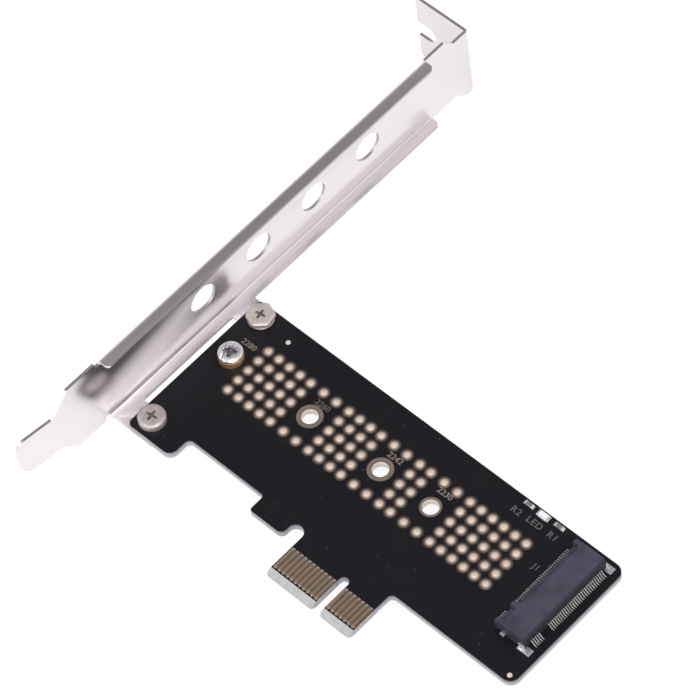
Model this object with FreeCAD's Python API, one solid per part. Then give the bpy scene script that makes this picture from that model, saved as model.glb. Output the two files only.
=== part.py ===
import FreeCAD, Part
import math
import os

os.makedirs("parts", exist_ok=True)

# Frame: origin on the bottom edge of the circuit board, in the middle of the key notch, at the level of
# the component face. X runs along the card away from the bracket, Y from the edge fingers to the top edge,
# Z out of the component face. Millimetres throughout.

V = FreeCAD.Vector

# ---- circuit board ----
board_t = 1.57            # thickness, component face at z = 0
board_left_margin = 4.90  # from the standoff's centre to the edge beside the bracket
board_right = 36.85       # far edge
board_top = 41.65         # top edge
board_floor = 11.30       # long lower edge, right of the tongue and left of the block
corner_r = 2.0            # outer corners of the far edge
inner_corner_r = 1.2      # top corner beside the bracket and the concave corner by the tongue
lobe_w = 11.20            # lobe that carries the lower bracket screw
lobe_below_screw = 3.60   # from that screw's centre down to the edge of the lobe
lobe_r = 1.75
block_left = -23.45       # short block left of the slot
block_right = -15.35
block_floor = 7.50
block_r = 1.25
slot_top = 11.00          # round-ended slot between block and tongue
tongue_left = -12.15
tongue_right = 8.15
tongue_r = 0.6            # bottom corners of the tongue
key_w = 1.90              # key notch, centred on x = 0
key_top = 8.50
key_r = 0.6               # corners where the notch meets the bottom edge
bevel_h = 1.40            # bevel on both faces of the tongue
bevel_deg = 20.0

# ---- edge fingers ----
finger_pitch = 1.00
finger_w = 0.70
finger_top = 6.90
finger_floor = 1.80
finger_first = 1.50       # from the key centre to the nearest finger on each side
fingers_left = 11
fingers_right = 7
copper_t = 0.05           # copper, plating and tin standing on the board faces

# ---- module holes, named after the module length they hold ----
slot_datum_x = 31.35      # plane the module lengths are counted from
hole_line_y = 28.99
module_lengths = {"60": 60.0, "42": 42.35, "30": 30.0}
standoff_length = 80.0
module_hole_d = 3.30
ring_d = 5.05
thin_ring_d = 4.20        # the ring around the nearest hole is narrow

# ---- thermal pads: full columns between the holes, and two pairs of pads bridging each hole ----
pad_d = 1.90
pad_side_count = 10       # each pad is a flat prism with this many sides
pad_pitch = 2.705
pad_row_count = 5
pad_top_y = 34.40         # top row
pad_from_standoff = 4.30  # first column, from the standoff's centre
pad_from_hole = 4.75      # nearest full column on either side of a module hole
pad_bridge = 1.60         # bridging pads, from the hole's centre along the card
pad_from_tips = 6.20      # last column, from the tips of the connector's front feet
fiducial_d = 1.0
fiducial_left = (5.80, 3.50)    # from the standoff's centre along X, and from the top edge
fiducial_right = (1.60, 1.30)   # from the far edge, and from the lower edge

# ---- bracket: one folded sheet ----
sheet_t = 0.60
web_gap = 4.47            # from the board's edge to the web
bracket_w = 18.25         # width of the web
bend_in_r = 0.50          # inside radius of the flange bends
flange_low_reach = 2.27   # flange below the board, from the web face to its free edge
flange_top_reach = 2.36   # stiffening flange
flange_top_start = 0.35   # the stiffening flange begins this much above the lower foot's edge
relief_w = 1.20           # relief notch between flange and shoulder
shoulder_h = 6.90         # full-width shoulder below the relief notches
blade_len = 12.62         # from the shoulder to the tip
blade_w = 9.90            # width of the lower blade
blade_shift = -0.30       # the blade's middle against the web's
blade_drop = 4.30         # from the shoulder to the bend where the blade leans outward
blade_bend_deg = 7.0
blade_bend_r = 3.0
tip_top_cut = 2.1
tip_low_cut = 2.6
top_outer_y = 105.60      # outer face of the bent top tab
flange_low_drop = 12.00   # from there down to the end of the flange below the board
flange_top_drop = 11.75
neck_shift = 2.45         # the neck stands this much lower than the web
neck_top_drop = 6.50      # step on the upper edge of the web
neck_low_drop = 4.80      # step on the lower edge of the web
tab_reach = 12.59         # from the web face to the far edge of the top tab
tab_bend_r = 0.10
tab_corner_r = 1.3
notch_w = 4.42            # screw notch of the top tab
notch_depth = 4.60
notch_shift = -0.30       # the notch's middle against the tab's
vent_d = 6.30
vent_first = 26.00        # first vent, from the lower foot's edge
vent_pitch = 14.83
vent_count = 4
foot_past_screw = 3.40    # free ends of the two mounting feet, from the screws' centres
foot_low_w = 6.30
foot_top_w = 5.70
foot_top_below = 2.40     # from the upper screw's centre down to the foot's edge
foot_r = 1.0
foot_inner_r = 0.6

# ---- bracket screws ----
screw_from_standoff = 1.80  # the screws stand nearer the bracket than the standoff
screw_low_y = 9.90
screw_top_y = 38.80
screw_d = 2.90
screw_hole_d = 3.20       # clearance holes in the board
tapped_d = 3.00           # holes in the feet
screw_reach = 3.00        # shank length below the head
pan_d = 5.60
pan_h = 1.75
pan_rim_h = 0.45
pan_crown_d = 4.40        # where the head rounds over
pan_crown_h = 1.30
pan_flat_d = 2.80
hex_base_d = 5.60         # washer face under the hexagon head
hex_base_h = 0.35
hex_groove_d = 4.50       # undercut between washer face and hexagon
hex_groove_h = 0.20
hex_h = 1.60
hex_af = 5.10

# ---- module standoff, its nut and its screw ----
standoff_d = 5.00
standoff_h = 1.55
standoff_edge = 0.20      # bevel of its upper rim
stud_d = 3.00
stud_below = 0.25         # end of the stud below the nut
nut_af = 5.50
nut_h = 1.30
wafer_d = 4.80
wafer_h = 1.00
wafer_rim_h = 0.35
wafer_flat_d = 3.20
wafer_shank_d = 1.90
wafer_bore_d = 2.00
wafer_reach = 2.60
wafer_bore_depth = 3.20

# ---- module connector ----
conn_front = 26.85
conn_lip = 27.65          # front of the upper lip, set back from the lower one
conn_rear = 33.85
conn_low_y = 18.10
conn_high_y = 39.85
conn_h = 3.00
conn_edge = 0.35          # bevel along the top edges
end_wall = 0.95
card_slot_z = (1.25, 2.30)
card_slot_back = 31.20
channel_h = 0.25          # shallow channel under the front for the solder feet
channel_back = 28.25
lead_in = 0.25            # bevel on the lower lip
key_post_y = 22.86
key_post_w = 1.10
pin_pitch = 0.50
pin_w = 0.22
pin_t = 0.18
pin_gap = 0.04            # room around each pin in its pocket
long_row_count = 29
rear_first_y = 38.35      # highest pin of the rear row
rear_short_first_y = 21.85
rear_short_count = 5
front_offset = 0.25       # the front row stands half a pitch lower
front_short_count = 4
front_tip = 25.95
front_riser = 27.85
front_beam_end = 30.80
rear_tip = 35.15
rear_riser = 34.20
rear_entry_z = 0.95
groove_w = 0.26
groove_depth = 0.20
groove_back = 28.60
lip_notch_w = 0.70        # open notches in the upper lip beside the key and at both ends
lip_notch_depth = 0.60
hold_t = 0.25             # sheet of the solder lugs
hold_w = 0.75
hold_out_x = 35.35
hold_in_x = 32.55
hold_in_y = 0.75          # the lug reaches this far back over the rear of the housing
hold_upright = 1.30
lug_x = 28.85
lug_len = 0.95
lug_out = 0.55
lug_h = 0.40

# ---- small parts by the top edge ----
res_y = 40.70
res_x = {"r1": 21.85, "r2": 14.65}
res_body_len = 1.10
res_w = 0.85
res_h = 0.45
res_end_len = 0.30
res_end_h = 0.50
res_over = 0.40           # solder beyond the metal end
led_x = 18.25
led_y = 40.60
led_len = 2.80
led_w = 1.30
led_base_h = 0.40
led_end_len = 0.45
led_lens_h = 0.45
led_lens_draft = 0.10


def on_xy(z):
    return lambda u, v: V(u, v, z)


def on_xz(y):
    return lambda u, v: V(u, y, v)


def on_yz(x):
    return lambda u, v: V(x, u, v)


def rounded_face(corners, place):
    """Face inside (u, v) or (u, v, radius) corners; a radius turns its corner into a tangent arc."""
    runs = []
    count = len(corners)
    for i in range(count):
        here = V(corners[i][0], corners[i][1], 0)
        radius = corners[i][2] if len(corners[i]) > 2 else 0.0
        if radius == 0.0:
            runs.append([here])
            continue
        back = (V(*corners[i - 1][:2], 0) - here).normalize()
        ahead = (V(*corners[(i + 1) % count][:2], 0) - here).normalize()
        half = back.getAngle(ahead) / 2
        reach = radius / math.tan(half)
        inward = (back + ahead).normalize()
        middle = here + inward * (radius / math.sin(half) - radius)
        runs.append([here + back * reach, middle, here + ahead * reach])
    edges = []
    for i in range(count):
        run = [place(p.x, p.y) for p in runs[i]]
        if len(run) == 3:
            edges.append(Part.Arc(*run).toShape())
        start = run[-1]
        after = runs[(i + 1) % count][0]
        end = place(after.x, after.y)
        if start.distanceToPoint(end) > 1e-6:
            edges.append(Part.makeLine(start, end))
    return Part.Face(Part.Wire(edges))


def prism_z(corners, z0, z1):
    return rounded_face(corners, on_xy(z0)).extrude(V(0, 0, z1 - z0))


def prism_y(corners, y0, y1):
    return rounded_face(corners, on_xz(y0)).extrude(V(0, y1 - y0, 0))


def prism_x(corners, x0, x1):
    return rounded_face(corners, on_yz(x0)).extrude(V(x1 - x0, 0, 0))


def rect(u0, u1, v0, v1):
    return [(u0, v0), (u1, v0), (u1, v1), (u0, v1)]


def box(x0, x1, y0, y1, z0, z1):
    return prism_z(rect(x0, x1, y0, y1), z0, z1)


def rod(diameter, x, y, z0, z1):
    return Part.makeCylinder(diameter / 2, z1 - z0, V(x, y, z0))


def turned(profile, x, y):
    """Solid of revolution about the vertical through (x, y) from (radius, z[, corner radius]) corners."""
    half = rounded_face(profile, on_xz(0))
    return half.revolve(V(0, 0, 0), V(0, 0, 1), 360).translated(V(x, y, 0))


def hexagon(across_flats, x, y):
    across_corners = across_flats / math.cos(math.radians(30))
    turns = [math.radians(60 * k) for k in range(6)]
    return [(x + across_corners / 2 * math.cos(a), y + across_corners / 2 * math.sin(a)) for a in turns]


def save(shape, node):
    if shape.ShapeType == "Compound" and len(shape.Solids) == 1:
        shape = shape.Solids[0]
    shape.exportStep("parts/" + node + ".step")


# ======================= circuit board =======================
board_back = -board_t
module_hole_x = {name: slot_datum_x - length for name, length in module_lengths.items()}
standoff_x = slot_datum_x - standoff_length
screw_x = standoff_x - screw_from_standoff
board_left = standoff_x - board_left_margin
lobe_right = board_left + lobe_w
lobe_floor = screw_low_y - lobe_below_screw
slot_r = (tongue_left - block_right) / 2

board_outline = [
    (board_left, lobe_floor, inner_corner_r),
    (lobe_right, lobe_floor, lobe_r),
    (lobe_right, board_floor, inner_corner_r),
    (block_left, board_floor, block_r / 2),
    (block_left, block_floor, block_r / 2),
    (block_right, block_floor, block_r),
    (block_right, slot_top, slot_r),
    (tongue_left, slot_top, slot_r),
    (tongue_left, 0, tongue_r),
    (-key_w / 2, 0, key_r),
    (-key_w / 2, key_top, key_w / 2),
    (key_w / 2, key_top, key_w / 2),
    (key_w / 2, 0, key_r),
    (tongue_right, 0, tongue_r),
    (tongue_right, board_floor, inner_corner_r),
    (board_right, board_floor, corner_r),
    (board_right, board_top, corner_r),
    (board_left, board_top, inner_corner_r),
]
board = prism_z(board_outline, board_back, 0)

holes = [rod(module_hole_d, x, hole_line_y, board_back, 0) for x in module_hole_x.values()]
holes.append(rod(module_hole_d, standoff_x, hole_line_y, board_back, 0))
holes.append(rod(screw_hole_d, screw_x, screw_low_y, board_back, 0))
holes.append(rod(screw_hole_d, screw_x, screw_top_y, board_back, 0))

# Each bevel wedge starts on the board face at the bevel height and deepens toward the bottom edge.
wedge_y = -bevel_h
wedge_depth = (bevel_h - wedge_y) * math.tan(math.radians(bevel_deg))
front_wedge = prism_x([(bevel_h, 0), (wedge_y, 0), (wedge_y, -wedge_depth)], tongue_left, tongue_right)
back_wedge = prism_x(
    [(bevel_h, board_back), (wedge_y, board_back), (wedge_y, board_back + wedge_depth)],
    tongue_left, tongue_right)
save(board.cut(holes + [front_wedge, back_wedge]), "board")

# ======================= copper on the board =======================
finger_x = [-finger_first - finger_pitch * k for k in range(fingers_left)]
finger_x += [finger_first + finger_pitch * k for k in range(fingers_right)]


def finger_row(z0, z1):
    return Part.makeCompound([
        box(x - finger_w / 2, x + finger_w / 2, finger_floor, finger_top, z0, z1) for x in finger_x])


save(finger_row(0, copper_t), "fingers_front")
save(finger_row(board_back - copper_t, board_back), "fingers_back")


def flat_ring(outer_d, x):
    disc = rod(outer_d, x, hole_line_y, 0, copper_t)
    return disc.cut(rod(module_hole_d, x, hole_line_y, 0, copper_t))


save(flat_ring(ring_d, module_hole_x["60"]), "hole_ring_60")
save(flat_ring(ring_d, module_hole_x["42"]), "hole_ring_42")
save(flat_ring(thin_ring_d, module_hole_x["30"]), "hole_ring_30")

def pad_group(spots, diameter):
    turns = [math.tau * k / pad_side_count for k in range(pad_side_count)]
    ring = [(diameter / 2 * math.cos(a), diameter / 2 * math.sin(a)) for a in turns]
    pad = prism_z(ring, 0, copper_t)
    return Part.makeCompound([pad.translated(V(x, y, 0)) for x, y in spots])


def full_columns(first_x, limit_x):
    """Columns at the pitch from first_x on, as many as end by limit_x."""
    count = math.floor((limit_x - first_x) / pad_pitch) + 1
    return [first_x + pad_pitch * k for k in range(count)]


hole_xs = sorted(module_hole_x.values())
column_starts = [standoff_x + pad_from_standoff] + [x + pad_from_hole for x in hole_xs]
column_limits = [x - pad_from_hole for x in hole_xs] + [front_tip - pad_from_tips]
pad_rows = [pad_top_y - pad_pitch * k for k in range(pad_row_count)]
pad_spots = []
for first_x, limit_x in zip(column_starts, column_limits):
    pad_spots += [(x, y) for x in full_columns(first_x, limit_x) for y in pad_rows]
for x in hole_xs:
    pad_spots += [(x + side, y) for side in (-pad_bridge, pad_bridge) for y in (pad_rows[0], pad_rows[-1])]
save(pad_group(pad_spots, pad_d), "thermal_pads")
save(pad_group([
    (standoff_x + fiducial_left[0], board_top - fiducial_left[1]),
    (board_right - fiducial_right[0], board_floor + fiducial_right[1]),
], fiducial_d), "fiducials")

# ======================= bracket =======================
web_in = board_left - web_gap
web_out = web_in - sheet_t
web_low = board_back - sheet_t
web_high = web_low + bracket_w
web_mid = web_low + bracket_w / 2
bend_out_r = bend_in_r + sheet_t
flange_start = lobe_floor
flange_low_end = top_outer_y - flange_low_drop
flange_top_end = top_outer_y - flange_top_drop
shoulder_top = flange_start - relief_w
shoulder_floor = shoulder_top - shoulder_h
tip_y = shoulder_floor - blade_len
blade_bend_y = shoulder_floor - blade_drop
blade_low = web_mid + blade_shift - blade_w / 2
blade_high = web_mid + blade_shift + blade_w / 2
tip_out = (blade_bend_y - tip_y) * math.tan(math.radians(blade_bend_deg))
neck_low = web_low - neck_shift
neck_high = web_high - neck_shift
tab_under = top_outer_y - sheet_t
tab_far = web_out - tab_reach

# Side view of the sheet: blade leaning outward, flat web, top tab folded outward.
side = prism_z([
    (web_in, blade_bend_y, blade_bend_r),
    (web_in, top_outer_y, tab_bend_r + sheet_t),
    (tab_far, top_outer_y),
    (tab_far, tab_under),
    (web_out, tab_under, tab_bend_r),
    (web_out, blade_bend_y, blade_bend_r),
    (web_out - tip_out, tip_y),
    (web_in - tip_out, tip_y),
], neck_low, web_high)

# Front view of the sheet: along the flanges it stops where the bends begin.
front = prism_x([
    (tip_y, blade_low, tip_low_cut),
    (shoulder_floor - (blade_low - web_low), blade_low),
    (shoulder_floor, web_low),
    (shoulder_top, web_low),
    (shoulder_top, web_low + bend_out_r),
    (flange_low_end, web_low + bend_out_r),
    (flange_low_end, web_low),
    (top_outer_y - neck_low_drop, web_low),
    (top_outer_y - neck_low_drop + neck_shift, neck_low),
    (top_outer_y, neck_low),
    (top_outer_y, neck_high),
    (top_outer_y - neck_top_drop + neck_shift, neck_high),
    (top_outer_y - neck_top_drop, web_high),
    (flange_top_end, web_high),
    (flange_top_end, web_high - bend_out_r),
    (shoulder_top + flange_top_start, web_high - bend_out_r),
    (shoulder_top + flange_top_start, web_high),
    (shoulder_floor, web_high),
    (shoulder_floor - (web_high - blade_high), blade_high),
    (tip_y, blade_high, tip_top_cut),
], tab_far, web_in)
sheet = side.common(front)


def folded_flange(outline, z_face, z_free, z_web):
    """Flange with its bend: an angle section run along Y and trimmed to the outline seen from above."""
    reach = max(corner[0] for corner in outline)
    low = min(corner[1] for corner in outline)
    high = max(corner[1] for corner in outline)
    section = prism_y([
        (web_in, z_web),
        (web_in, z_face, bend_in_r),
        (reach, z_face),
        (reach, z_free),
        (web_out, z_free, bend_out_r),
        (web_out, z_web),
    ], low, high)
    return section.common(prism_z(outline, web_low, web_high))


foot_end = screw_x + foot_past_screw
foot_low_top = flange_start + foot_low_w
foot_top_low = screw_top_y - foot_top_below
flange_low_x = web_in + flange_low_reach
flange_top_x = web_in + flange_top_reach
low_flange = folded_flange([
    (web_out, flange_start),
    (foot_end, flange_start, foot_r),
    (foot_end, foot_low_top, foot_r),
    (flange_low_x, foot_low_top, foot_inner_r),
    (flange_low_x, foot_top_low, foot_inner_r),
    (foot_end, foot_top_low, foot_r),
    (foot_end, foot_top_low + foot_top_w, foot_r),
    (flange_low_x, foot_top_low + foot_top_w, foot_inner_r),
    (flange_low_x, flange_low_end, foot_r),
    (web_out, flange_low_end),
], board_back, web_low, web_low + bend_out_r)
top_flange = folded_flange([
    (web_out, flange_start + flange_top_start),
    (flange_top_x, flange_start + flange_top_start, foot_r),
    (flange_top_x, flange_top_end, foot_r),
    (web_out, flange_top_end),
], web_high - sheet_t, web_high, web_high - bend_out_r)

# Screw notch of the top tab: open at the far edge, round at its inner end.
notch_r = notch_w / 2
notch_z = (neck_low + neck_high) / 2 + notch_shift
notch = prism_y([
    (tab_far, notch_z - notch_r),
    (tab_far + notch_depth, notch_z - notch_r, notch_r),
    (tab_far + notch_depth, notch_z + notch_r, notch_r),
    (tab_far, notch_z + notch_r),
], tab_under, top_outer_y)
bend_floor = tab_under - tab_bend_r
tab_trim = prism_y([
    (web_in, neck_low),
    (tab_far, neck_low, tab_corner_r),
    (tab_far, neck_high, tab_corner_r),
    (web_in, neck_high),
], bend_floor, top_outer_y)
below_tab = box(tab_far, web_in, tip_y, bend_floor, neck_low, web_high)
sheet = sheet.common(tab_trim.fuse(below_tab)).cut(notch)

vents = []
for k in range(vent_count):
    vent_y = flange_start + vent_first + k * vent_pitch
    vents.append(Part.makeCylinder(vent_d / 2, sheet_t, V(web_out, vent_y, web_mid), V(1, 0, 0)))
tapped = [rod(tapped_d, screw_x, y, web_low, board_back) for y in (screw_low_y, screw_top_y)]
bracket = sheet.fuse([low_flange, top_flange]).cut(vents + tapped).removeSplitter()
save(bracket, "bracket")

# ======================= bracket screws =======================
pan_screw = turned([
    (0, -screw_reach),
    (screw_d / 2, -screw_reach),
    (screw_d / 2, 0),
    (pan_d / 2, 0),
    (pan_d / 2, pan_rim_h),
    (pan_crown_d / 2, pan_crown_h),
    (pan_flat_d / 2, pan_h),
    (0, pan_h),
], screw_x, screw_low_y)
save(pan_screw, "bracket_screw_low")

groove_top = hex_base_h + hex_groove_h
shank = turned([
    (0, -screw_reach),
    (screw_d / 2, -screw_reach),
    (screw_d / 2, 0),
    (hex_base_d / 2, 0),
    (hex_base_d / 2, hex_base_h),
    (hex_groove_d / 2, hex_base_h),
    (hex_groove_d / 2, groove_top),
    (0, groove_top),
], screw_x, screw_top_y)
hex_head = prism_z(hexagon(hex_af, screw_x, screw_top_y), groove_top, hex_h)
save(shank.fuse(hex_head).removeSplitter(), "bracket_screw_top")

# ======================= standoff, nut, module screw =======================
nut_low = board_back - nut_h
stud_low = nut_low - stud_below
standoff = turned([
    (0, stud_low),
    (stud_d / 2, stud_low),
    (stud_d / 2, 0),
    (standoff_d / 2, 0),
    (standoff_d / 2, standoff_h - standoff_edge),
    (standoff_d / 2 - standoff_edge, standoff_h),
    (0, standoff_h),
], standoff_x, hole_line_y)
wafer_bore = rod(wafer_bore_d, standoff_x, hole_line_y, standoff_h - wafer_bore_depth, standoff_h)
save(standoff.cut(wafer_bore), "standoff")

nut = prism_z(hexagon(nut_af, standoff_x, hole_line_y), nut_low, board_back)
save(nut.cut(rod(stud_d, standoff_x, hole_line_y, nut_low, board_back)), "standoff_nut")

wafer_top = standoff_h + wafer_h
module_screw = turned([
    (0, standoff_h - wafer_reach),
    (wafer_shank_d / 2, standoff_h - wafer_reach),
    (wafer_shank_d / 2, standoff_h),
    (wafer_d / 2, standoff_h),
    (wafer_d / 2, standoff_h + wafer_rim_h),
    (wafer_flat_d / 2, wafer_top),
    (0, wafer_top),
], standoff_x, hole_line_y)
save(module_screw, "module_screw")

# ======================= module connector =======================
slot_low_y = conn_low_y + end_wall
slot_high_y = conn_high_y - end_wall
slot_floor, slot_roof = card_slot_z
rear_rows = [rear_first_y - pin_pitch * k for k in range(long_row_count)]
rear_rows += [rear_short_first_y - pin_pitch * k for k in range(rear_short_count)]
front_rows = [rear_first_y - front_offset - pin_pitch * k for k in range(long_row_count)]
front_rows += [rear_short_first_y - front_offset - pin_pitch * k for k in range(front_short_count)]

body = prism_y([
    (channel_back, 0),
    (conn_rear, 0),
    (conn_rear, conn_h - conn_edge),
    (conn_rear - conn_edge, conn_h),
    (conn_lip + conn_edge, conn_h),
    (conn_front, conn_h - conn_edge),
    (conn_front, channel_h),
    (channel_back, channel_h),
], conn_low_y, conn_high_y)
card_slot = prism_y([
    (conn_front, slot_floor - lead_in),
    (conn_front + lead_in, slot_floor),
    (card_slot_back, slot_floor),
    (card_slot_back, slot_roof),
    (conn_lip, slot_roof + lead_in),
    (conn_lip, conn_h),
    (conn_front, conn_h),
], slot_low_y, slot_high_y)
post_low_y = key_post_y - key_post_w / 2
post_high_y = key_post_y + key_post_w / 2
key_post = box(conn_front, card_slot_back, post_low_y, post_high_y, 0, conn_h)
cuts = [card_slot.cut(key_post)]
pocket_w = pin_w + 2 * pin_gap
for y in front_rows:
    cuts.append(box(
        front_riser - pin_gap, front_riser + pin_t + pin_gap, y - pocket_w / 2, y + pocket_w / 2,
        channel_h, slot_floor))
for y in rear_rows:
    cuts.append(box(conn_lip, groove_back, y - groove_w / 2, y + groove_w / 2, conn_h - groove_depth, conn_h))
for y in (
        slot_high_y - lip_notch_w / 2, slot_low_y + lip_notch_w / 2,
        post_high_y + lip_notch_w / 2, post_low_y - lip_notch_w / 2):
    cuts.append(box(
        conn_lip, conn_lip + lip_notch_depth, y - lip_notch_w / 2, y + lip_notch_w / 2, slot_roof, conn_h))
save(body.cut(cuts).removeSplitter(), "connector_housing")

front_pin = [
    (front_tip, 0),
    (front_riser + pin_t, 0),
    (front_riser + pin_t, slot_floor),
    (front_beam_end, slot_floor),
    (front_beam_end, slot_floor + pin_t),
    (front_riser, slot_floor + pin_t),
    (front_riser, pin_t),
    (front_tip, pin_t),
]
rear_pin = [
    (conn_rear, rear_entry_z - pin_t),
    (rear_riser, rear_entry_z - pin_t),
    (rear_riser, 0),
    (rear_tip, 0),
    (rear_tip, pin_t),
    (rear_riser + pin_t, pin_t),
    (rear_riser + pin_t, rear_entry_z),
    (conn_rear, rear_entry_z),
]


def contact_row(section, row_ys):
    return Part.makeCompound([prism_y(section, y - pin_w / 2, y + pin_w / 2) for y in row_ys])


save(contact_row(front_pin, front_rows), "contacts_front")
save(contact_row(rear_pin, rear_rows), "contacts_rear")


def hold_down(end_y, outward):
    """Solder lug around a rear corner of the housing, with an upright against the end wall."""
    far_y = end_y + outward * hold_w
    back_y = end_y - outward * hold_in_y
    flat = prism_z([
        (hold_in_x, end_y),
        (conn_rear, end_y),
        (conn_rear, back_y),
        (hold_out_x, back_y),
        (hold_out_x, far_y),
        (hold_in_x, far_y),
    ], 0, hold_t)
    upright = box(hold_in_x, conn_rear, min(end_y, end_y + outward * hold_t),
                  max(end_y, end_y + outward * hold_t), 0, hold_upright)
    return flat.fuse(upright).removeSplitter()


save(hold_down(conn_high_y, 1), "hold_down_high")
save(hold_down(conn_low_y, -1), "hold_down_low")
save(box(lug_x - lug_len / 2, lug_x + lug_len / 2, conn_low_y - lug_out, conn_low_y, 0, lug_h), "front_lug")

# ======================= resistors and lamp =======================
for name, x in res_x.items():
    half = res_body_len / 2
    save(box(x - half, x + half, res_y - res_w / 2, res_y + res_w / 2, 0, res_h), name + "_body")
    ends = []
    for sign in (-1, 1):
        ends.append(prism_y([
            (x + sign * half, 0),
            (x + sign * (half + res_end_len + res_over), 0),
            (x + sign * (half + res_end_len), res_end_h),
            (x + sign * half, res_end_h),
        ], res_y - res_w / 2, res_y + res_w / 2))
    save(Part.makeCompound(ends), name + "_ends")

led_half = led_len / 2
led_in = led_half - led_end_len
save(box(led_x - led_in, led_x + led_in, led_y - led_w / 2, led_y + led_w / 2, 0, led_base_h), "led_base")
led_ends = []
for sign in (-1, 1):
    led_ends.append(prism_y([
        (led_x + sign * led_in, 0),
        (led_x + sign * led_half, 0),
        (led_x + sign * led_half, led_base_h),
        (led_x + sign * led_in, led_base_h),
    ], led_y - led_w / 2, led_y + led_w / 2))
save(Part.makeCompound(led_ends), "led_ends")
lens_floor = rounded_face(rect(
    led_x - led_in, led_x + led_in, led_y - led_w / 2 + led_lens_draft, led_y + led_w / 2 - led_lens_draft),
    on_xy(led_base_h)).OuterWire
lens_roof = rounded_face(rect(
    led_x - led_in + led_lens_draft, led_x + led_in - led_lens_draft,
    led_y - led_w / 2 + 2 * led_lens_draft, led_y + led_w / 2 - 2 * led_lens_draft),
    on_xy(led_base_h + led_lens_h)).OuterWire
save(Part.makeLoft([lens_floor, lens_roof], True, True), "led_lens")
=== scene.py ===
import logging
import math
from dataclasses import dataclass
from enum import Enum
from typing import Callable, Sequence

import bmesh
import bpy
from bmesh.types import BMesh, BMFace, BMVert
from bpy.types import Material, Node, NodeSocket, NodeTree, Object
from bpy.types import bpy_prop_collection as Sockets
from mathutils import Matrix, Vector

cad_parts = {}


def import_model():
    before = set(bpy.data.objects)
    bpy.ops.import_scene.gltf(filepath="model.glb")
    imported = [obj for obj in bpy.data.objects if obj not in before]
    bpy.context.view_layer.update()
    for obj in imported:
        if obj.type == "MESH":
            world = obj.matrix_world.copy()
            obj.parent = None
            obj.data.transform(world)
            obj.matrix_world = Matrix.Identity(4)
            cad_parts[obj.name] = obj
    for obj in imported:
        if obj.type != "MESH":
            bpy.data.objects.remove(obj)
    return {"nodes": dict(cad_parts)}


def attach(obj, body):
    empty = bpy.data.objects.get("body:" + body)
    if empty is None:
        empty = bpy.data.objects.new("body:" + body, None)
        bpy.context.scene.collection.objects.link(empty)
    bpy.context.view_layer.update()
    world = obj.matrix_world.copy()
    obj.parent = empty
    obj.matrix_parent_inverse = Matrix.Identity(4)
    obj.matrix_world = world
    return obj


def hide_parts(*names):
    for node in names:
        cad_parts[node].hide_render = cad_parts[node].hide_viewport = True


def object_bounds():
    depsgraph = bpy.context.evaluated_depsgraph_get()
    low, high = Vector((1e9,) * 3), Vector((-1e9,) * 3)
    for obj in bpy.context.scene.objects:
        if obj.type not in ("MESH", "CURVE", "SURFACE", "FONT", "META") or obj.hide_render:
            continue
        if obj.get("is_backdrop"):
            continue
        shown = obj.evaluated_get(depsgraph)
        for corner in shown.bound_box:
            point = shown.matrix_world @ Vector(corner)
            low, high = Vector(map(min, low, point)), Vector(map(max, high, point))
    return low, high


LOG = logging.getLogger("adapter_card")
MM = 0.001
BODY = "root"

Screen = tuple[int, int, int]
Point = tuple[float, float, float]
Spot = tuple[float, float]
Feeds = dict[str | int, object]

# Lengths and places in millimetres.
BOARD_T = 1.57
FINGER_LOW = 1.80
FINGER_HIGH = 6.90
STANDOFF_AT = (-48.65, 28.99)
STANDOFF_H = 1.55
BOARD_SCREW_X = -50.45
MERGE_MM = 0.0005

# A face within this many radii of a hole's axis is the hole's wall.
HOLE_MARGIN = 1.05

# Turns in degrees: below the first, faces become one; above the others, edges are eased or stay sharp.
FLAT_DEG = 0.5
EASED_DEG = 35
SHARP_DEG = 24


def linear(screen: Screen) -> Point:
    """Turn a screen colour of 0 to 255 per channel into the linear colour a shader wants."""
    levels = [value / 255 for value in screen]
    return tuple(level / 12.92 if level <= 0.04045 else ((level + 0.055) / 1.055) ** 2.4 for level in levels)


# ---------------------------------------------------------------- shader parts

class Effect(Enum):
    """Shared shader effects, each built once as a node group."""

    GRAIN = "Surface grain"
    SCUFF = "Fine scuffs"
    DUST = "Dust specks"


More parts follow.
